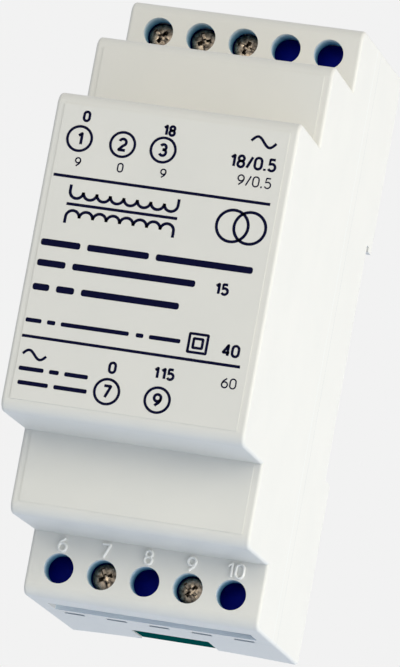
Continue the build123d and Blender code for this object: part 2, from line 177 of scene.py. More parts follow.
# The clip slides, so it is a waxy plastic, matt enough that little but its green shows.
CLIP = moulded_plastic("moulded POM, dark green", "#00504b", "#00423e", 0.6, shine=0.0, cloud_mm=5.0)
# The terminal blocks are a deep blue that turns almost black in the depth of the holes.
BLOCK = moulded_plastic("moulded PA, blue", "#001090", "#000a60", 0.42, shine=0.02, cloud_mm=2.5)
# Glass fibres near the skin give the black bobbin a grey cloud.
BOBBIN = moulded_plastic("moulded glass filled PA, black", "#1c1c1f", "#2a2a2c", 0.55, cloud_mm=2.0)
print("plastics made")

# %% [markdown]
# Painted light and shade on the walls of the screw holes and slots
#
# The terminal blocks are moulded in blue. The housing's screw holes get painted light and shade in its
# material: pale at the rim, bluer further in, a painted shade for the depth of the hole and painted blue
# light thrown by the blocks. Ten rings could be laid into the holes, but the holes repeat at one pitch, so
# the housing's own material can find them. Wrapping x at the pitch and taking the distance from the row
# gives the distance from the nearest hole, and the depth below the terminal face then picks the colour.
# The rear walls of the wire slots and of the vents each stand at one depth, which is enough to find them:
# the wide slots get a paler, cooler colour as painted light, and the narrow vents a darker one as painted
# shade.

# %% Paint shade and blue light on the walls of the holes
HOLE_RADIUS = 2.2 * MM
HOLE_REACH = 1.1 * HOLE_RADIUS
ROW_HALF = 2.5 * POLE_PITCH
RIM = TERMINAL_FACE + 0.1 * MM
PAINTED_SHADE_END = TERMINAL_FACE + 3.1 * MM
# Painted light at the rim of each hole, then painted shade and painted blue light further in.
PAINTED_RIM_LIGHT = "#eaf1f5"
PAINTED_WALL_SHADES = ((0.2, "#cfe2ee"), (0.45, "#98c2d6"), (0.75, "#7db2ce"))
PAINTED_DEEP_SHADE = "#3c7fa8"


def opened(material):
    """A material's tree, its shader, and its object coordinates along the three axes."""
    tree = material.node_tree
    shader = next(node for node in tree.nodes if node.type == "BSDF_PRINCIPLED")
    place = next(node for node in tree.nodes if node.type == "TEX_COORD").outputs["Object"]
    return tree, shader, add(tree, "ShaderNodeSeparateXYZ", {"Vector": place}).outputs


def paint_over(tree, shader, painted_light_mask, colour):
    """Lays painted light or shade, a colour or a socket giving one, over the shader's own where the mask is
    1.
    """
    plain = shader.inputs["Base Color"].links[0].from_socket
    tint = add(tree, "ShaderNodeMix", {"Factor": painted_light_mask, "A": plain, "B": colour}, data_type="RGBA")
    tree.links.new(tint.outputs["Result"], shader.inputs["Base Color"])


# Painted shade and painted blue light: hole walls pale at the rim, bluer and darker with depth.
def paint_shade_in_holes(material):
    tree, shader, axes = opened(material)
    wrapped = {0: axes["X"], 1: POLE_PITCH / 2, 2: -POLE_PITCH / 2}
    across = add(tree, "ShaderNodeMath", wrapped, operation="WRAP").outputs[0]
    height = add(tree, "ShaderNodeMath", {0: axes["Z"]}, operation="ABSOLUTE").outputs[0]
    along = add(tree, "ShaderNodeMath", {0: height, 1: UPPER_ROW}, operation="SUBTRACT").outputs[0]
    from_hole = add(tree, "ShaderNodeCombineXYZ", {"X": across, "Y": along}).outputs[0]
    distance = add(tree, "ShaderNodeVectorMath", {0: from_hole}, operation="LENGTH").outputs["Value"]
    near = add(tree, "ShaderNodeMath", {0: distance, 1: HOLE_REACH}, operation="LESS_THAN").outputs[0]
    off_middle = add(tree, "ShaderNodeMath", {0: axes["X"]}, operation="ABSOLUTE").outputs[0]
    in_row = add(tree, "ShaderNodeMath", {0: off_middle, 1: ROW_HALF}, operation="LESS_THAN").outputs[0]
    inside = add(tree, "ShaderNodeMath", {0: axes["Y"], 1: RIM}, operation="GREATER_THAN").outputs[0]
    painted_light_mask = add(tree, "ShaderNodeMath", {0: near, 1: inside}, operation="MULTIPLY").outputs[0]
    painted_light_mask = add(tree, "ShaderNodeMath", {0: painted_light_mask, 1: in_row}, operation="MULTIPLY").outputs[0]
    limits = {"Value": axes["Y"], "From Min": RIM, "From Max": PAINTED_SHADE_END}
    depth = add(tree, "ShaderNodeMapRange", limits).outputs["Result"]
    shade = add(tree, "ShaderNodeValToRGB", {"Fac": depth})
    stops = shade.color_ramp.elements
    stops[0].color = linear(PAINTED_RIM_LIGHT)
    stops[1].color = linear(PAINTED_DEEP_SHADE)
    for position, colour in PAINTED_WALL_SHADES:
        stops.new(position).color = linear(colour)
    paint_over(tree, shader, painted_light_mask, shade.outputs["Color"])


# The housing's hole walls get their painted shade and painted blue light.
paint_shade_in_holes(HOUSING)
print("holes tinted, rows at", round(UPPER_ROW / MM, 2), "and", round(LOWER_ROW / MM, 2), "mm")

# %% Paint light and shade on the rear walls of slots and vents
SLOT_REAR = TERMINAL_FACE + 11.7 * MM
VENT_REAR = SLOT_REAR + 3.0 * MM
WALL_TOLERANCE = 0.03 * MM


def paint_wall_light_and_shade(material, wall, colour):
    """Gives the walls at one depth a colour of their own, as painted light or painted shade."""
    tree, shader, axes = opened(material)
    limits = {0: axes["Y"], 1: wall, 2: WALL_TOLERANCE}
    on_wall = add(tree, "ShaderNodeMath", limits, operation="COMPARE").outputs[0]
    paint_over(tree, shader, on_wall, linear(colour))


# Painted light: the rear walls of the wire slots are paler and cooler.
paint_wall_light_and_shade(HOUSING, SLOT_REAR, "#eef8fc")
# Painted shade: the rear walls of the narrow vents are darker.
paint_wall_light_and_shade(HOUSING, VENT_REAR, "#a4adb4")
print(f"slot walls at {SLOT_REAR / MM:.1f} mm, vent walls at {VENT_REAR / MM:.1f} mm")

# %% [markdown]
# Plated metal
#
# Screws, clamps, contacts and the clip's spring are small stamped or rolled parts with a thin plating.
# Plating takes its colour from the bath, stains slightly where it dried, and keeps the fine lines of the
# rolling. Two noises give that: a broad one for the stains, a stretched one for the lines. The real lines
# are a few hundredths of a millimetre wide, so they are drawn coarser than they are.

# %% Plated metal
STAIN_EDGES = (0.35, 0.65)
GLOSS_DROP = 0.08
STAIN_ROUGHENS = 0.12
LINE_STRETCH = 8.0
LINE_DEPTH = 0.005 * MM
LINE_STRENGTH = 0.4


def plated_metal(name, colour, stain_colour, roughness, stain_mm=0.8, line_mm=0.12):
    material, tree = new_material(name)
    place = add(tree, "ShaderNodeTexCoord").outputs["Object"]
    stain = add(tree, "ShaderNodeTexNoise", {"Vector": place, "Scale": per_mm(stain_mm), "Detail": 4.0})
    edges = {"Value": stain.outputs["Fac"], "From Min": STAIN_EDGES[0], "From Max": STAIN_EDGES[1]}
    sharper = add(tree, "ShaderNodeMapRange", edges)
    tint = add(tree, "ShaderNodeMix", {"Factor": sharper.outputs["Result"]}, data_type="RGBA")
    tint.inputs["A"].default_value = linear(colour)
    tint.inputs["B"].default_value = linear(stain_colour)
    stretched = add(tree, "ShaderNodeMapping", {"Vector": place, "Scale": (1.0, 1.0, LINE_STRETCH)})
    lines = add(
        tree,
        "ShaderNodeTexNoise",
        {"Vector": stretched.outputs["Vector"], "Scale": per_mm(line_mm) / LINE_STRETCH, "Detail": 2.0},
    )
    gloss = add(tree, "ShaderNodeMapRange", {"Value": stain.outputs["Fac"]})
    gloss.inputs["To Min"].default_value = roughness - GLOSS_DROP
    gloss.inputs["To Max"].default_value = roughness + STAIN_ROUGHENS
    bump = add(
        tree,
        "ShaderNodeBump",
        {"Height": lines.outputs["Fac"], "Strength": LINE_STRENGTH, "Distance": LINE_DEPTH},
    )
    shader = add(
        tree,
        "ShaderNodeBsdfPrincipled",
        {
            "Base Color": tint.outputs["Result"],
            "Metallic": 1.0,
            "Roughness": gloss.outputs["Result"],
            "Normal": bump.outputs["Normal"],
        },
    )
    add(tree, "ShaderNodeOutputMaterial", {"Surface": shader.outputs["BSDF"]})
    return material


# Nickel that has yellowed and stained: the heads look brown, with bright edges round the recess.
SCREW = plated_metal("nickel plated steel, yellowed", "#a6998a", "#433d38", 0.28, stain_mm=0.6)
# Zinc plate is a cool, even grey.
CLAMP = plated_metal("zinc plated steel", "#c8c9c6", "#a9aba8", 0.38)
# Tin over brass is pale, with a yellow cast where it is thin.
CONTACT = plated_metal("tinned brass", "#d8d0b4", "#b9ae8c", 0.3)
# Rolled spring strip is the brightest metal here.
SPRING = plated_metal("spring steel strip", "#b8b8bc", "#8f8f94", 0.28)
print("metals made")

# %% [markdown]
# Finishes of the wound core
#
# The core, its windings and its leads are closed in by the housing, but they are part of the object, so
# they get finishes too. The same two materials could be copied node by node, but they only need other
# values: laminations and enamelled wire are metal under a thin coat, and the epoxy coat and the sleeves
# are plastics. A table then gives every node of the solid model its finish by a word in its name.

# %% Finishes of the wound core
# Lacquer leaves the stacked sheets a dull blue grey.
LAMINATION = plated_metal(
    "lacquered lamination steel", "#5a5a60", "#45454b", 0.45, stain_mm=3.0, line_mm=0.4
)
# Under clear enamel the wire keeps the warm colour of copper.
COPPER = plated_metal("enamelled copper wire", "#b8642e", "#8f4a20", 0.32, stain_mm=2.0, line_mm=0.3)
# A dipped coat is smooth and glossy.
THERMISTOR = moulded_plastic("dipped epoxy, blue", "#28408c", "#22377a", 0.25, cloud_mm=3.0)
# The sleeves of the leads are white and half glossy.
SLEEVE = moulded_plastic("wire sleeve, white", "#d9d9d4", "#cfcfc9", 0.4, cloud_mm=3.0)
FINISHES = {
    "hood": HOUSING,
    "base": BASE,
    "rail_clip": CLIP,
    "clip_spring": SPRING,
    "terminal_block": BLOCK,
    "terminal_screw": SCREW,
    "rising_clamp": CLAMP,
    "contact": CONTACT,
    "core": LAMINATION,
    "bobbin": BOBBIN,
    "winding": COPPER,
    "thermistor": THERMISTOR,
    "lead": SLEEVE,
}
for name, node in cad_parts.items():
    finish = next(material for key, material in FINISHES.items() if key in name)
    node.data.materials.clear()
    node.data.materials.append(finish)
print("finished nodes:", len(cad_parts))

# %% [markdown]
# Drawing in ink
#
# The label is pad printed in dark blue ink, a film of a few hundredths of a millimetre. A decal image
# would show it, but a thin closed solid keeps a sharp edge at any distance. Everything is drawn flat
# first, x to the right and y up, in millimetres, and then stood up on the face that carries it. Lines,
# rings and coils all follow a path, so one tree of Geometry Nodes gives any path its width. Its section
# is either flat, for ink and strip, or round, for moulded strokes.

# %% Ink and a tree that gives paths their width
INK_PROUD = 0.02
# Pad printing ink dries to a dense, matt film with no grain of its own.
INK = moulded_plastic("pad printing ink, navy", "#080b30", "#060826", 0.6, shine=0.05, cloud_mm=1.5)


def stroke_tree():
    tree = bpy.data.node_groups.new("stroke along a path", "GeometryNodeTree")
    face = tree.interface
    face.new_socket("Geometry", in_out="INPUT", socket_type="NodeSocketGeometry")
    face.new_socket("Stroke", in_out="INPUT", socket_type="NodeSocketFloat")
    face.new_socket("Thickness", in_out="INPUT", socket_type="NodeSocketFloat")
    face.new_socket("Round", in_out="INPUT", socket_type="NodeSocketBool")
    face.new_socket("Finish", in_out="INPUT", socket_type="NodeSocketMaterial")
    face.new_socket("Geometry", in_out="OUTPUT", socket_type="NodeSocketGeometry")
    given = add(tree, "NodeGroupInput").outputs
    path = add(tree, "GeometryNodeMeshToCurve", {"Mesh": given["Geometry"]})
    flat = add(tree, "GeometryNodeSetCurveNormal", {"Curve": path.outputs["Curve"]}, mode="Z_UP")
    section = add(
        tree,
        "GeometryNodeCurvePrimitiveQuadrilateral",
        {"Width": given["Stroke"], "Height": given["Thickness"]},
    )
    half = add(tree, "ShaderNodeMath", {0: given["Stroke"], 1: 0.5}, operation="MULTIPLY").outputs[0]
    circle = add(tree, "GeometryNodeCurvePrimitiveCircle", {"Resolution": 16, "Radius": half})
    sides = {0: given["Thickness"], 1: given["Stroke"]}
    squeeze = add(tree, "ShaderNodeMath", sides, operation="DIVIDE").outputs[0]
    shape = add(tree, "ShaderNodeCombineXYZ", {"X": 1.0, "Y": squeeze, "Z": 1.0})
    ridge = add(
        tree,
        "GeometryNodeTransform",
        {"Geometry": circle.outputs["Curve"], "Scale": shape.outputs["Vector"]},
    )
    chosen = add(
        tree,
        "GeometryNodeSwitch",
        {"Switch": given["Round"], "False": section.outputs["Curve"], "True": ridge.outputs["Geometry"]},
        input_type="GEOMETRY",
    )
    line = add(
        tree,
        "GeometryNodeCurveToMesh",
        {"Curve": flat.outputs["Curve"], "Profile Curve": chosen.outputs["Output"], "Fill Caps": True},
    )
    whole = add(tree, "GeometryNodeRealizeInstances", {"Geometry": line.outputs["Mesh"]})
    finished = add(
        tree,
        "GeometryNodeSetMaterial",
        {"Geometry": whole.outputs["Geometry"], "Material": given["Finish"]},
    )
    add(tree, "NodeGroupOutput", {"Geometry": finished.outputs["Geometry"]})
    return tree


STROKES = stroke_tree()
print("stroke tree nodes:", len(STROKES.nodes))


# %% From a drawing to a piece
def evaluated_mesh(thing):
    """Plain mesh of an object with its modifiers, and the object removed."""
    bpy.context.scene.collection.objects.link(thing)
    bpy.context.view_layer.update()
    graph = bpy.context.evaluated_depsgraph_get()
    mesh = bpy.data.meshes.new_from_object(thing.evaluated_get(graph), depsgraph=graph)
    bpy.data.objects.remove(thing)
    return mesh


def close_up(mesh, distance=1e-7):
    """Merges doubled points and turns all faces outwards."""
    shape = bmesh.new()
    shape.from_mesh(mesh)
    bmesh.ops.remove_doubles(shape, verts=shape.verts, dist=distance)
    bmesh.ops.recalc_face_normals(shape, faces=shape.faces)
    shape.to_mesh(mesh)
    shape.free()
    return mesh


def settled(mesh):
    """The same mesh with points and faces in a fixed order, which a boolean may change from run to run."""
    points = sorted(range(len(mesh.vertices)), key=lambda i: mesh.vertices[i].co.to_tuple(8))
    new_index = {old: new for new, old in enumerate(points)}
    faces = []
    for face in mesh.polygons:
        corners = [new_index[i] for i in face.vertices]
        first = corners.index(min(corners))
        faces.append(corners[first:] + corners[:first])
    fixed = bpy.data.meshes.new(mesh.name)
    fixed.from_pydata([mesh.vertices[i].co[:] for i in points], [], sorted(faces))
    return fixed


def joined(meshes):
    """One mesh of several."""
    shape = bmesh.new()
    for mesh in meshes:
        shape.from_mesh(mesh)
    whole = bpy.data.meshes.new("joined")
    shape.to_mesh(whole)
    shape.free()
    return whole


def piece_of(name, mesh, material, body):
    """A finished piece that rides on a body and takes its finish from a slot."""
    mesh.name = name
    mesh.materials.clear()
    mesh.materials.append(material)
    piece = bpy.data.objects.new(name, mesh)
    bpy.context.scene.collection.objects.link(piece)
    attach(piece, body)
    return piece


def drawn_paths(paths, stroke, proud=INK_PROUD, material=INK, round_section=False):
    """Flat mesh of open or closed paths, each a list of points in mm and whether it closes."""
    points = []
    edges = []
    for path, closes in paths:
        first = len(points)
        points += [(x * MM, y * MM, 0.0) for x, y in path]
        edges += [(first + i, first + i + 1) for i in range(len(path) - 1)]
        if closes:
            edges.append((len(points) - 1, first))
    mesh = bpy.data.meshes.new("paths")
    mesh.from_pydata(points, edges, [])
    drawing = bpy.data.objects.new("paths", mesh)
    modifier = drawing.modifiers.new("stroke", "NODES")
    modifier.node_group = STROKES
    values = {
        "Stroke": stroke * MM,
        "Thickness": 2 * proud * MM,
        "Round": round_section,
        "Finish": material,
    }
    for item in STROKES.interface.items_tree:
        if item.name in values:
            modifier[item.identifier] = values[item.name]
    return close_up(evaluated_mesh(drawing))


def drawn_plates(outlines):
    """Flat mesh of filled outlines, as thick as the ink."""
    shape = bmesh.new()
    for outline in outlines:
        face = shape.faces.new([shape.verts.new((x * MM, y * MM, -INK_PROUD * MM)) for x, y in outline])
        grown = bmesh.ops.extrude_face_region(shape, geom=[face])["geom"]
        tops = [part for part in grown if isinstance(part, bmesh.types.BMVert)]
        bmesh.ops.translate(shape, verts=tops, vec=(0.0, 0.0, 2 * INK_PROUD * MM))
    mesh = bpy.data.meshes.new("plates")
    shape.to_mesh(mesh)
    shape.free()
    return settled(close_up(mesh))


print("drawing helpers ready")

# %% [markdown]
# Print on the label
#
# The label tells which terminal is which: ringed numbers with plain figures beside them, the circuit
# symbols of a transformer between two rules, and rows of plain bars. Each sign could be a piece of its
# own, but they never move against each other, so all of them become one film of ink on the front face.

# %% Rings, rules and symbols
CORNER_STEPS = 4
LOOP_STEPS = 12
COIL_TAIL = 0.9


def ring(x, y, radius, steps=40):
    turns = [math.tau * i / steps for i in range(steps)]
    return [(x + radius * math.cos(a), y + radius * math.sin(a)) for a in turns], True


def rounded_box(x_from, x_to, y_from, y_to, corner):
    centres = (
        (x_to - corner, y_to - corner, 0),
        (x_from + corner, y_to - corner, 90),
        (x_from + corner, y_from + corner, 180),
        (x_to - corner, y_from + corner, 270),
    )
    outline = []
    for x, y, start in centres:
        for step in range(CORNER_STEPS + 1):
            angle = math.radians(start + 90 * step / CORNER_STEPS)
            outline.append((x + corner * math.cos(angle), y + corner * math.sin(angle)))
    return outline


def wave(x_from, x_to, y, height, steps=32):
    length = x_to - x_from
    return [
        (x_from + length * i / steps, y + height * math.sin(math.tau * i / steps)) for i in range(steps + 1)
    ], False


def coil(x_from, x_to, y, loops, bulge):
    """A row of half rings with a tail at both ends, as a winding is drawn in a circuit."""
    radius = (x_to - x_from) / loops / 2
    path = [(x_from, y - bulge * COIL_TAIL)]
    for loop in range(loops):
        centre = x_from + radius * (2 * loop + 1)
        for step in range(LOOP_STEPS + 1):
            angle = math.pi * (1 - step / LOOP_STEPS)
            path.append((centre + radius * math.cos(angle), y + bulge * radius * math.sin(angle)))
    return path + [(x_to, y - bulge * COIL_TAIL)], False


RINGS = {
    "1": (-13.28, 16.43),
    "2": (-7.02, 16.4),
    "3": (-1.16, 16.4),
    "7": (-2.8, -18.37),
    "9": (4.47, -18.52),
}
RING_RADIUS = 1.75
thin_lines = [ring(x, y, RING_RADIUS) for x, y in RINGS.values()]
thin_lines += [
    (rounded_box(7.4, 10.0, -11.2, -8.6, 0.08), True),
    (rounded_box(8.05, 9.35, -10.55, -9.25, 0.08), True),
    wave(11.0, 14.6, 19.4, 0.7),
    wave(-15.6, -12.2, -14.75, 0.6),
]
symbol_lines = [
    coil(-13.2, 2.4, 8.9, 8, -1),
    ([(-13.4, 7.05), (2.6, 7.05)], False),
    coil(-13.2, 2.4, 5.2, 8, 1),
    ring(10.5, 7.1, 2.25),
    ring(13.0, 7.1, 2.25),
]
rules = [
    ([(-16.02, 10.92), (15.24, 10.81)], False),
    ([(-16.18, -12.23), (15.15, -12.31)], False),
]
print("paths:", len(thin_lines), "+", len(symbol_lines), "+", len(rules))

# %% Rows of plain bars
BOLD_BAR = 0.95
FINE_BAR = 0.6
BAR_CORNER = 0.35
bars = []
for middle, thickness, spans in (
    (1.25, BOLD_BAR, ((-16.0, -10.3), (-9.3, -0.4), (0.6, 14.5))),
    (-1.7, BOLD_BAR, ((-16.0, -11.9), (-10.9, 6.8))),
    (-5.15, BOLD_BAR, ((-16.0, -13.6), (-12.6, -10.0), (-9.0, 5.1))),
    (-9.95, FINE_BAR, ((-16.1, -13.8), (-13.0, -11.8), (-11.0, -1.2), (-0.2, 0.9), (1.7, 6.2))),
    (-16.8, FINE_BAR, ((-15.8, -12.2), (-11.4, -10.0), (-9.2, -5.8))),
    (-18.8, FINE_BAR, ((-15.6, -11.2), (-10.4, -5.6))),
):
    for left, right in spans:
        low = middle - thickness / 2
        bars.append(rounded_box(left, right, low, low + thickness, thickness * BAR_CORNER))
print("bars:", len(bars))

# %% [markdown]
# Figures
#
# Plain figures with one even stroke and round turns read well in print and are the easiest to engrave. A
# font would bring its own weight and its own shapes, so each figure is drawn as paths in a cell one unit
# high and goes through the same stroke tree as the rings. The same figures serve the moulded numbers
# further down.


# %% Figures as paths
def arc(x, y, radius, start, end, steps=14):
    angles = [math.radians(start + (end - start) * i / steps) for i in range(steps + 1)]
    return [(x + radius * math.cos(a), y + radius * math.sin(a)) for a in angles]


def eased(points, corner=0.05):
    """An open path with its corners rounded a little, so that the stroke keeps its width."""
    path = [points[0]]
    for before, here, after in zip(points, points[1:], points[2:]):
        tip = Vector(here)
        ends = [Vector(before), Vector(after)]
        near = [tip.lerp(end, corner / (end - tip).length) for end in ends]
        for step in range(CORNER_STEPS + 1):
            t = step / CORNER_STEPS
            path.append(tuple((1 - t) ** 2 * near[0] + 2 * t * (1 - t) * tip + t**2 * near[1]))
    return path + [points[-1]]


SIX = [
    (arc(0.3, 0.3, 0.3, 0, 351, 28), True),
    (arc(0.62, 0.3, 0.62, 180, 118, 8) + [(0.46, 1.0)], False),
]
FIGURES = {
    "0": [(rounded_box(0.0, 0.6, 0.0, 1.0, 0.3), True)],
    "1": [(eased([(0.12, 0.76), (0.4, 1.0), (0.4, 0.0)]), False)],
    "2": [(arc(0.3, 0.7, 0.3, 165, -38) + eased([(0.34, 0.38), (0.0, 0.0), (0.6, 0.0)]), False)],
    "3": [(arc(0.29, 0.745, 0.255, 155, -85) + arc(0.29, 0.29, 0.29, 85, -155), False)],
    "4": [(eased([(0.44, 0.0), (0.44, 1.0), (0.0, 0.28), (0.6, 0.28)]), False)],
    "5": [(eased([(0.54, 1.0), (0.12, 1.0), (0.06, 0.55)]) + arc(0.29, 0.31, 0.31, 120, -150), False)],
    "6": SIX,
    "7": [(eased([(0.0, 1.0), (0.6, 1.0), (0.2, 0.0)]), False)],
    "8": [(arc(0.3, 0.76, 0.24, 0, 348, 28), True), (arc(0.3, 0.27, 0.27, 0, 348, 28), True)],
    "9": [([(0.6 - x, 1.0 - y) for x, y in path], closes) for path, closes in SIX],
    "/": [([(0.0, 0.0), (0.42, 1.0)], False)],
    ".": [([(0.05, -0.06), (0.05, 0.12)], False)],
}
WIDTHS = {"/": 0.42, ".": 0.1, "1": 0.45}
USUAL_WIDTH = 0.6
FIGURE_GAP = 0.26


def written(text, x, y, height, anchor=0.5):
    """Paths of plain figures on a base line at y, with the point x at this part of their length."""
    steps = [WIDTHS.get(figure, USUAL_WIDTH) + FIGURE_GAP for figure in text]
    length = sum(steps) - FIGURE_GAP
    at = -anchor * length
    paths = []
    for figure, step in zip(text, steps):
        for path, closes in FIGURES[figure]:
            paths.append(([(x + (at + px) * height, y + py * height) for px, py in path], closes))
        at += step
    return paths


bold_figures = [
    *written("0", -12.8, 19.05, 1.3),
    *written("18", -0.8, 18.6, 1.3),
    *written("18/0.5", 15.0, 15.5, 1.6, anchor=1.0),
    *written("15", 10.6, -2.6, 1.4),
    *written("40", 13.5, -11.0, 1.5),
    *written("0", -2.6, -15.65, 1.4),
    *written("115", 4.7, -15.45, 1.4),
]
fine_figures = [
    *written("9", -12.9, 12.5, 1.2),
    *written("0", -6.75, 12.5, 1.2),
    *written("9", -0.55, 12.5, 1.2),
    *written("9/0.5", 14.8, 13.0, 1.4, anchor=1.0),
    *written("60", 15.0, -15.45, 1.35, anchor=1.0),
]
RINGED_HEIGHT = 1.6
ringed_figures = []
for number, (x, y) in RINGS.items():
    ringed_figures += written(number, x, y - RINGED_HEIGHT / 2, RINGED_HEIGHT)
print("figures:", len(bold_figures) + len(fine_figures) + len(ringed_figures), "paths")

# %% Ink on the label face
THIN_STROKE = 0.38
SYMBOL_STROKE = 0.42
BOLD_STROKE = 0.38
RINGED_STROKE = 0.4
FINE_STROKE = 0.2
label_ink = [
    drawn_paths(thin_lines, THIN_STROKE),
    drawn_paths(symbol_lines, SYMBOL_STROKE),
    drawn_paths(rules, SYMBOL_STROKE),
    drawn_paths(bold_figures, BOLD_STROKE),
    drawn_paths(ringed_figures, RINGED_STROKE),
    drawn_paths(fine_figures, FINE_STROKE),
    drawn_plates(bars),
]
UPRIGHT = Matrix.Rotation(math.radians(90), 4, "X")
label_mesh = joined(label_ink)
label_mesh.transform(Matrix.Translation((0.0, LABEL_FACE, 0.0)) @ UPRIGHT)
piece_of("label_print", label_mesh, INK, ROOT)
print("label print faces:", len(label_mesh.polygons))

# %% [markdown]
# Raised terminal numbers
#
# The mould is engraved beside each hole, so the housing shows raised numbers, 1 to 5 at the top and 6 to
# 10 at the bottom. The cutter has a round nose, so each stroke is a half round ridge. Modelling them into
# the housing would tie the figures to it, so the same paths with a round section, half in the face and
# half out of it, give them.

# %% Numbers beside the holes
NUMBER_HEIGHT = 1.95
NUMBER_STROKE = 0.42
NUMBER_PROUD = 0.36
NUMBER_FROM_ROW = 3.5
POLES = range(-2, 3)
# The engraving stays smooth when the mould is eroded, so the ridges are glossier than the face; their paler
# colour is a painted highlight.
POLISHED_PAINTED_HIGHLIGHT = moulded_plastic("moulded ABS, polished, painted highlight", "#f1f1ee", "#ecece8", 0.3, shine=0.5)
numbers = []
for row, first, side in ((UPPER_ROW, 1, -1), (LOWER_ROW, 6, 1)):
    base_line = row / MM + side * NUMBER_FROM_ROW - NUMBER_HEIGHT / 2
    for pole in POLES:
        number = str(first + pole - POLES.start)
        numbers += written(number, POLE_PITCH / MM * pole, base_line, NUMBER_HEIGHT)
number_mesh = drawn_paths(numbers, NUMBER_STROKE, NUMBER_PROUD, POLISHED_PAINTED_HIGHLIGHT, round_section=True)
number_mesh.shade_smooth()
number_mesh.transform(Matrix.Translation((0.0, TERMINAL_FACE, 0.0)) @ UPRIGHT)
piece_of("terminal_numbers", number_mesh, POLISHED_PAINTED_HIGHLIGHT, ROOT)
print("number paths:", len(numbers))

# %% [markdown]
# Terminal screws
#
# Each screw has a low domed head with a slot and a cross recess, and a thread of 0.5 mm pitch. The plain
# screws of the solid model keep their place and size, and detailed ones stand for them. The head is
# turned, so its outline is spun. The recesses are pressed in, so wedge shaped cutters are taken out of
# it. The thread follows a helix, which Geometry Nodes draw as a spiral with a ridge on it.

# %% Sizes of the screw, from the solid model
screw_low, screw_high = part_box("terminal_screw_1")
screw_middle = middle_of("terminal_screw_1")
HEAD_RADIUS = (screw_high.x - screw_low.x) / 2
HEAD_TOP = screw_low.y
SCREW_LENGTH = screw_high.y - screw_low.y
screw_points = [
    (math.hypot(point.co.x - screw_middle.x, point.co.z - screw_middle.z), point.co.y)
    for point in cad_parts["terminal_screw_1"].data.vertices
]
OUTER_SHARE = 0.95
BELOW_HEAD = 0.1 * MM
head_end = max(y for radius, y in screw_points if radius > OUTER_SHARE * HEAD_RADIUS)
HEAD_HEIGHT = head_end - HEAD_TOP
THREAD_RADIUS = max(radius for radius, y in screw_points if y > head_end + BELOW_HEAD)
THREAD_PITCH = 0.5 * MM
THREAD_LENGTH = SCREW_LENGTH - HEAD_HEIGHT
print(f"head {2 * HEAD_RADIUS / MM:.2f} mm wide, thread {2 * THREAD_RADIUS / MM:.2f} mm")
print(f"length {SCREW_LENGTH / MM:.2f} mm")


# %% Thread along a helix
def thread_tree():
    tree = bpy.data.node_groups.new("screw thread", "GeometryNodeTree")
    face = tree.interface
    for name in ("Radius", "Pitch", "Length"):
        face.new_socket(name, in_out="INPUT", socket_type="NodeSocketFloat")
    face.new_socket("Metal", in_out="INPUT", socket_type="NodeSocketMaterial")
    face.new_socket("Geometry", in_out="OUTPUT", socket_type="NodeSocketGeometry")
    given = add(tree, "NodeGroupInput").outputs
    lengths = {0: given["Length"], 1: given["Pitch"]}
    turns = add(tree, "ShaderNodeMath", lengths, operation="DIVIDE").outputs[0]
    ridge = add(tree, "ShaderNodeMath", {0: given["Pitch"], 1: 0.5}, operation="MULTIPLY").outputs[0]
    middle = add(tree, "ShaderNodeMath", {0: given["Radius"], 1: ridge}, operation="SUBTRACT").outputs[0]
    clear = add(tree, "ShaderNodeMath", {0: given["Pitch"], 1: 2.0}, operation="MULTIPLY").outputs[0]
    run = add(tree, "ShaderNodeMath", {0: given["Length"], 1: clear}, operation="SUBTRACT").outputs[0]
    helix = add(
        tree,
        "GeometryNodeCurveSpiral",
        {
            "Resolution": 20,
            "Rotations": turns,
            "Start Radius": middle,
            "End Radius": middle,
            "Height": run,
        },
    )
    section = add(tree, "GeometryNodeCurvePrimitiveCircle", {"Resolution": 4, "Radius": ridge})
    upright = add(tree, "GeometryNodeSetCurveNormal", {"Curve": helix.outputs["Curve"]}, mode="Z_UP")
    line = add(
        tree,
        "GeometryNodeCurveToMesh",
        {"Curve": upright.outputs["Curve"], "Profile Curve": section.outputs["Curve"], "Fill Caps": True},
    )
    lower = add(tree, "ShaderNodeCombineXYZ", {"Z": given["Pitch"]})
    placed = add(
        tree,
        "GeometryNodeTransform",
        {"Geometry": line.outputs["Mesh"], "Translation": lower.outputs["Vector"]},
    )
    core = add(
        tree,
        "GeometryNodeMeshCylinder",
        {"Vertices": 32, "Radius": middle, "Depth": given["Length"]},
    )
    half = add(tree, "ShaderNodeMath", {0: given["Length"], 1: 0.5}, operation="MULTIPLY").outputs[0]
    up = add(tree, "ShaderNodeCombineXYZ", {"Z": half})
    core = add(
        tree,
        "GeometryNodeTransform",
        {"Geometry": core.outputs["Mesh"], "Translation": up.outputs["Vector"]},
    )
    both = add(tree, "GeometryNodeJoinGeometry", {"Geometry": placed.outputs["Geometry"]})
    tree.links.new(core.outputs["Geometry"], both.inputs["Geometry"])
    whole = add(tree, "GeometryNodeRealizeInstances", {"Geometry": both.outputs["Geometry"]})
    plated = add(
        tree,
        "GeometryNodeSetMaterial",
        {"Geometry": whole.outputs["Geometry"], "Material": given["Metal"]},
    )
    add(tree, "NodeGroupOutput", {"Geometry": plated.outputs["Geometry"]})
    return tree


THREAD = thread_tree()
shank = bpy.data.objects.new("shank", bpy.data.meshes.new("shank"))
winder = shank.modifiers.new("thread", "NODES")
winder.node_group = THREAD
thread_values = {
    "Radius": THREAD_RADIUS,
    "Pitch": THREAD_PITCH,
    "Length": THREAD_LENGTH,
    "Metal": SCREW,
}
for item in THREAD.interface.items_tree:
    if item.name in thread_values:
        winder[item.identifier] = thread_values[item.name]
shank_mesh = close_up(evaluated_mesh(shank))
INTO_HOUSING = Matrix.Rotation(math.radians(-90), 4, "X")
shank_mesh.transform(Matrix.Translation((0.0, HEAD_HEIGHT, 0.0)) @ INTO_HOUSING)
print("thread faces:", len(shank_mesh.polygons))

# %% Outline of the head and its cutters
WEDGE_OVER = 0.3


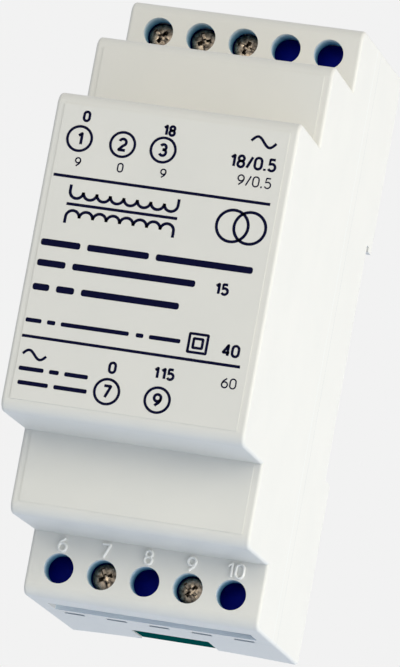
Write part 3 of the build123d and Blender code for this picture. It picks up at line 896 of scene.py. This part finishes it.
def spun(profile, steps=64):
    """Solid of revolution about y of a profile of (radius, y) in mm, from axis to axis."""
    shape = bmesh.new()
    points = [shape.verts.new((radius * MM, y * MM, 0.0)) for radius, y in profile]
    edges = [shape.edges.new(pair) for pair in zip(points, points[1:])]
    bmesh.ops.spin(
        shape,
        geom=points + edges,
        cent=(0, 0, 0),
        axis=(0, 1, 0),
        angle=math.tau,
        steps=steps,
        use_merge=True,
    )
    mesh = bpy.data.meshes.new("spun")
    shape.to_mesh(mesh)
    shape.free()
    return close_up(mesh)


def wedge(length, width, depth, taper):
    """A cutter with sloped walls that opens at y = 0 and narrows by taper towards its floor."""
    shape = bmesh.new()
    bmesh.ops.create_cube(shape, size=1.0)
    for corner in shape.verts:
        at_floor = corner.co.y > 0
        shrink = taper if at_floor else 1.0
        y = depth if at_floor else -WEDGE_OVER
        corner.co = Vector((corner.co.x * length * shrink, y, corner.co.z * width * shrink)) * MM
    mesh = bpy.data.meshes.new("wedge")
    shape.to_mesh(mesh)
    shape.free()
    return close_up(mesh)


DOME_RISE = 0.22
DOME_SHARES = (0.0, 0.2, 0.4, 0.55, 0.7, 0.82, 0.9)
EDGE_ROUND = 0.15
EDGE_ANGLES = (40, 65, 90)
UNDER_CHAMFER = 0.12
radius = HEAD_RADIUS / MM
height = HEAD_HEIGHT / MM
head_profile = [(radius * share, DOME_RISE * share**2) for share in DOME_SHARES]
for angle in EDGE_ANGLES:
    out = radius - EDGE_ROUND + EDGE_ROUND * math.sin(math.radians(angle))
    down = DOME_RISE + EDGE_ROUND - EDGE_ROUND * math.cos(math.radians(angle))
    head_profile.append((out, down))
head_profile += [(radius, height - UNDER_CHAMFER), (radius - UNDER_CHAMFER, height), (0.0, height)]
head = bpy.data.objects.new("head", spun(head_profile))
print("points on the head's outline:", len(head_profile))

# %% Slot, cross recess and worn edges
SLOT_CUT = {"length": 3.3, "width": 0.6, "depth": 0.62, "taper": 0.86}
CROSS_CUT = {"length": 2.5, "width": 0.72, "depth": 0.95, "taper": 0.45}
WORN_EDGE = 0.05 * MM
SHARP_ANGLE = math.radians(35)
for cutter_size, turn in ((SLOT_CUT, 0), (CROSS_CUT, 0), (CROSS_CUT, 90)):
    cutter = bpy.data.objects.new("cutter", wedge(**cutter_size))
    cutter.matrix_world = Matrix.Rotation(math.radians(turn), 4, "Y")
    bpy.context.scene.collection.objects.link(cutter)
    cut = head.modifiers.new("recess", "BOOLEAN")
    cut.operation = "DIFFERENCE"
    cut.solver = "EXACT"
    cut.object = cutter
    head = bpy.data.objects.new("head", settled(evaluated_mesh(head)))
    bpy.data.objects.remove(cutter)
worn = head.modifiers.new("worn edges", "BEVEL")
worn.width = WORN_EDGE
worn.segments = 2
worn.limit_method = "ANGLE"
worn.angle_limit = SHARP_ANGLE
head_mesh = settled(close_up(evaluated_mesh(head)))
print("head faces:", len(head_mesh.polygons))

# %% One screw for each wired pole
SLOT_TURN = {"1": 35, "2": 70, "3": 20, "7": 62, "9": 40}
for pole, degrees in SLOT_TURN.items():
    node = f"terminal_screw_{pole}"
    centre = middle_of(node)
    screw_mesh = joined([head_mesh, shank_mesh])
    turn = Matrix.Rotation(math.radians(degrees), 4, "Y")
    screw_mesh.transform(Matrix.Translation((centre.x, HEAD_TOP, centre.z)) @ turn)
    screw_mesh.shade_smooth()
    screw_mesh.set_sharp_from_angle(angle=SHARP_ANGLE)
    screw = piece_of(f"screw_{pole}", screw_mesh, SCREW, node)
    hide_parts(node)
print("screws:", len(SLOT_TURN), "faces each:", len(screw_mesh.polygons))

# %% [markdown]
# Spring of the clip
#
# A folded strip of spring steel sits behind the clip and pushes it up. The solid one could stay, but it
# is rigid, and a real spring shortens when the clip is pulled down. So a piece of its own, with a mesh of
# its own, stands for it on its seat. The strip follows a path, so the stroke tree draws it: the stroke is
# the strip's thickness and the height of the section its width.

# %% Folded strip on its seat
STRIP = 0.3
FOLDS = 4
BEND_STEPS = 16
SIDEWAYS = Matrix(((0, 0, 1, 0), (1, 0, 0, 0), (0, 1, 0, 0), (0, 0, 0, 1)))
spring_low, spring_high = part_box("clip_spring")
spring_size = (spring_high - spring_low) / MM
fold_pitch = (spring_size.z - STRIP) / FOLDS
reach = (spring_size.y - fold_pitch - STRIP) / 2
folds = [(reach, STRIP / 2)]
for fold in range(FOLDS):
    side = 1 if fold % 2 else -1
    bend_middle = STRIP / 2 + (fold + 0.5) * fold_pitch
    folds += arc(side * reach, bend_middle, fold_pitch / 2, -90, -90 + side * 180, BEND_STEPS)
folds.append((-reach, spring_size.z - STRIP / 2))
spring_mesh = drawn_paths([(folds, False)], STRIP, spring_size.x / 2, SPRING)
spring_middle = middle_of("clip_spring")
spring_seat = Vector((spring_middle.x, spring_middle.y, spring_low.z))
spring_mesh.transform(Matrix.Translation(spring_seat) @ SIDEWAYS)
spring_mesh.shade_smooth()
spring_mesh.set_sharp_from_angle(angle=SHARP_ANGLE)
spring = piece_of("spring_strip", spring_mesh, SPRING, ROOT)
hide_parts("clip_spring")
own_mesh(spring)

# %% [markdown]
# Camera
#
# The picture was taken from below and to the right with a long lens, and the camera was tilted. The lens
# is given as on a 36 mm sensor along the long side of the frame. Three turns could set the view, but a
# point to aim at and a roll about the line of sight are easier to read.

# %% Camera
CAMERA_PLACE = Vector((171.3, -744.6, -124.4)) * MM
CAMERA_AIM = Vector((5.15, -44.0, -5.9)) * MM
CAMERA_ROLL = math.radians(10.37)
LENS_MM = 279.7
SENSOR_MM = 36.0
camera_data = bpy.data.cameras.new("camera")
camera_data.lens = LENS_MM
camera_data.sensor_width = SENSOR_MM
camera = bpy.data.objects.new("camera", camera_data)
bpy.context.scene.collection.objects.link(camera)
look = (CAMERA_AIM - CAMERA_PLACE).to_track_quat("-Z", "Y") @ Quaternion((0, 0, 1), CAMERA_ROLL)
camera.matrix_world = Matrix.Translation(CAMERA_PLACE) @ look.to_matrix().to_4x4()
bpy.context.scene.camera = camera
print("camera", [round(v / MM, 1) for v in CAMERA_PLACE])

# %% [markdown]
# Light
#
# The picture was lit softly from everywhere, with a strong soft light on the right that almost burns out
# the side wall. A pale world gives the even part: it shows a pale grey to the camera and in reflections,
# and lights the object with its own, weaker colour. Six soft lamps give the rest: a large one on the
# right, one in front, two weak ones below, one behind and a small one on the left. The mirror image of a
# large lamp would burn out pale walls that are seen at a slant, so only the small one shows in
# reflections.

# %% Lamps
TARGET = Vector((0.0, -0.03, 0.0))


def soft_lamp(name, place, size, power, colour, glints=False):
    """A round lamp, in metres and watts, that shines on the object."""
    data = bpy.data.lights.new(name, "AREA")
    data.shape = "DISK"
    data.size = size
    data.energy = power
    data.color = linear(colour)[:3]
    lamp = bpy.data.objects.new(name, data)
    lamp.visible_camera = False
    lamp.visible_glossy = glints
    turn = (TARGET - Vector(place)).to_track_quat("-Z", "Y")
    lamp.matrix_world = Matrix.Translation(place) @ turn.to_matrix().to_4x4()
    bpy.context.scene.collection.objects.link(lamp)


soft_lamp("key from the right", place=(1.7, -0.36, 0.04), size=2.2, power=32.5, colour="#fffaf0")
soft_lamp("fill from the front", place=(0.3, -2.0, 0.5), size=1.2, power=12.6, colour="#fff6dd")
soft_lamp(
    "glints from the left", place=(-0.46, -1.93, 0.3), size=0.5, power=2.8, colour="#fff4dc", glints=True
)
soft_lamp("bounce from below", place=(0.2, 0.26, -0.36), size=0.4, power=0.52, colour="#dce8ff")
soft_lamp("low front fill", place=(0.3, -0.3, -0.34), size=0.4, power=0.19, colour="#c4e2ff")
soft_lamp("weak light from behind", place=(-1.3, 1.4, 0.9), size=1.4, power=11.0, colour="#f4f6ff")
print("lamps:", len(bpy.data.lights))

# %% World
AMBIENT_STRENGTH = 0.46


def seen_ray(tree):
    """1 for what the camera sees, directly or in a reflection or through glass, and 0 for lighting."""
    ray = add(tree, "ShaderNodeLightPath").outputs
    seen = add(
        tree,
        "ShaderNodeMath",
        {0: ray["Is Camera Ray"], 1: ray["Is Glossy Ray"]},
        operation="MAXIMUM",
    )
    seen = add(
        tree,
        "ShaderNodeMath",
        {0: seen.outputs[0], 1: ray["Is Transmission Ray"]},
        operation="MAXIMUM",
    )
    return seen.outputs[0]


scene = bpy.context.scene
scene.view_settings.view_transform = "Standard"
world = bpy.data.worlds.new("pale studio")
scene.world = world
world.use_nodes = True
sky = world.node_tree
sky.nodes.clear()
ambient = add(sky, "ShaderNodeBackground", {"Color": linear("#e4ecf8"), "Strength": AMBIENT_STRENGTH})
backdrop = add(sky, "ShaderNodeBackground", {"Color": linear("#f2f2f2"), "Strength": 1.0})
mixed = add(sky, "ShaderNodeMixShader", {0: seen_ray(sky), 1: ambient.outputs[0], 2: backdrop.outputs[0]})
add(sky, "ShaderNodeOutputWorld", {"Surface": mixed.outputs[0]})
print("world:", world.name, "nodes:", len(sky.nodes))

# %% [markdown]
# Floor
#
# A plain pale floor lies well below, because the part hangs on its rail and the camera looks up at it. In
# this light its paint alone would look dull. Brighter lamps would change the object as well, so the paint
# gets a weak glow that only the camera and reflections see.

# %% Floor
FLOOR_LEVEL = -1.2
FLOOR_HALF = 8.0
FLOOR_LIFT = 0.38
floor_mesh = bpy.data.meshes.new("floor")
SQUARE = ((-1, -1), (1, -1), (1, 1), (-1, 1))
corners = [(x * FLOOR_HALF, y * FLOOR_HALF, FLOOR_LEVEL) for x, y in SQUARE]
floor_mesh.from_pydata(corners, [], [(0, 1, 2, 3)])
floor = bpy.data.objects.new("floor", floor_mesh)
scene.collection.objects.link(floor)
# Matt paint gives broad, soft tones without a mirror image.
floor_paint = moulded_plastic("painted floor, pale grey", "#d6dfec", "#d2dbe8", 0.7, cloud_mm=400.0)
paint_tree = floor_paint.node_tree
paint = next(node for node in paint_tree.nodes if node.type == "BSDF_PRINCIPLED")
surface = next(node for node in paint_tree.nodes if node.type == "OUTPUT_MATERIAL").inputs["Surface"]
lift = add(paint_tree, "ShaderNodeMath", {0: seen_ray(paint_tree), 1: FLOOR_LIFT}, operation="MULTIPLY")
pale = add(paint_tree, "ShaderNodeEmission", {"Color": linear("#fffaf2"), "Strength": lift.outputs[0]})
lifted = add(paint_tree, "ShaderNodeAddShader", {0: paint.outputs["BSDF"], 1: pale.outputs["Emission"]})
paint_tree.links.new(lifted.outputs["Shader"], surface)
floor_mesh.materials.append(floor_paint)
print(f"floor {2 * FLOOR_HALF:.0f} m wide, {-FLOOR_LEVEL:.1f} m below")
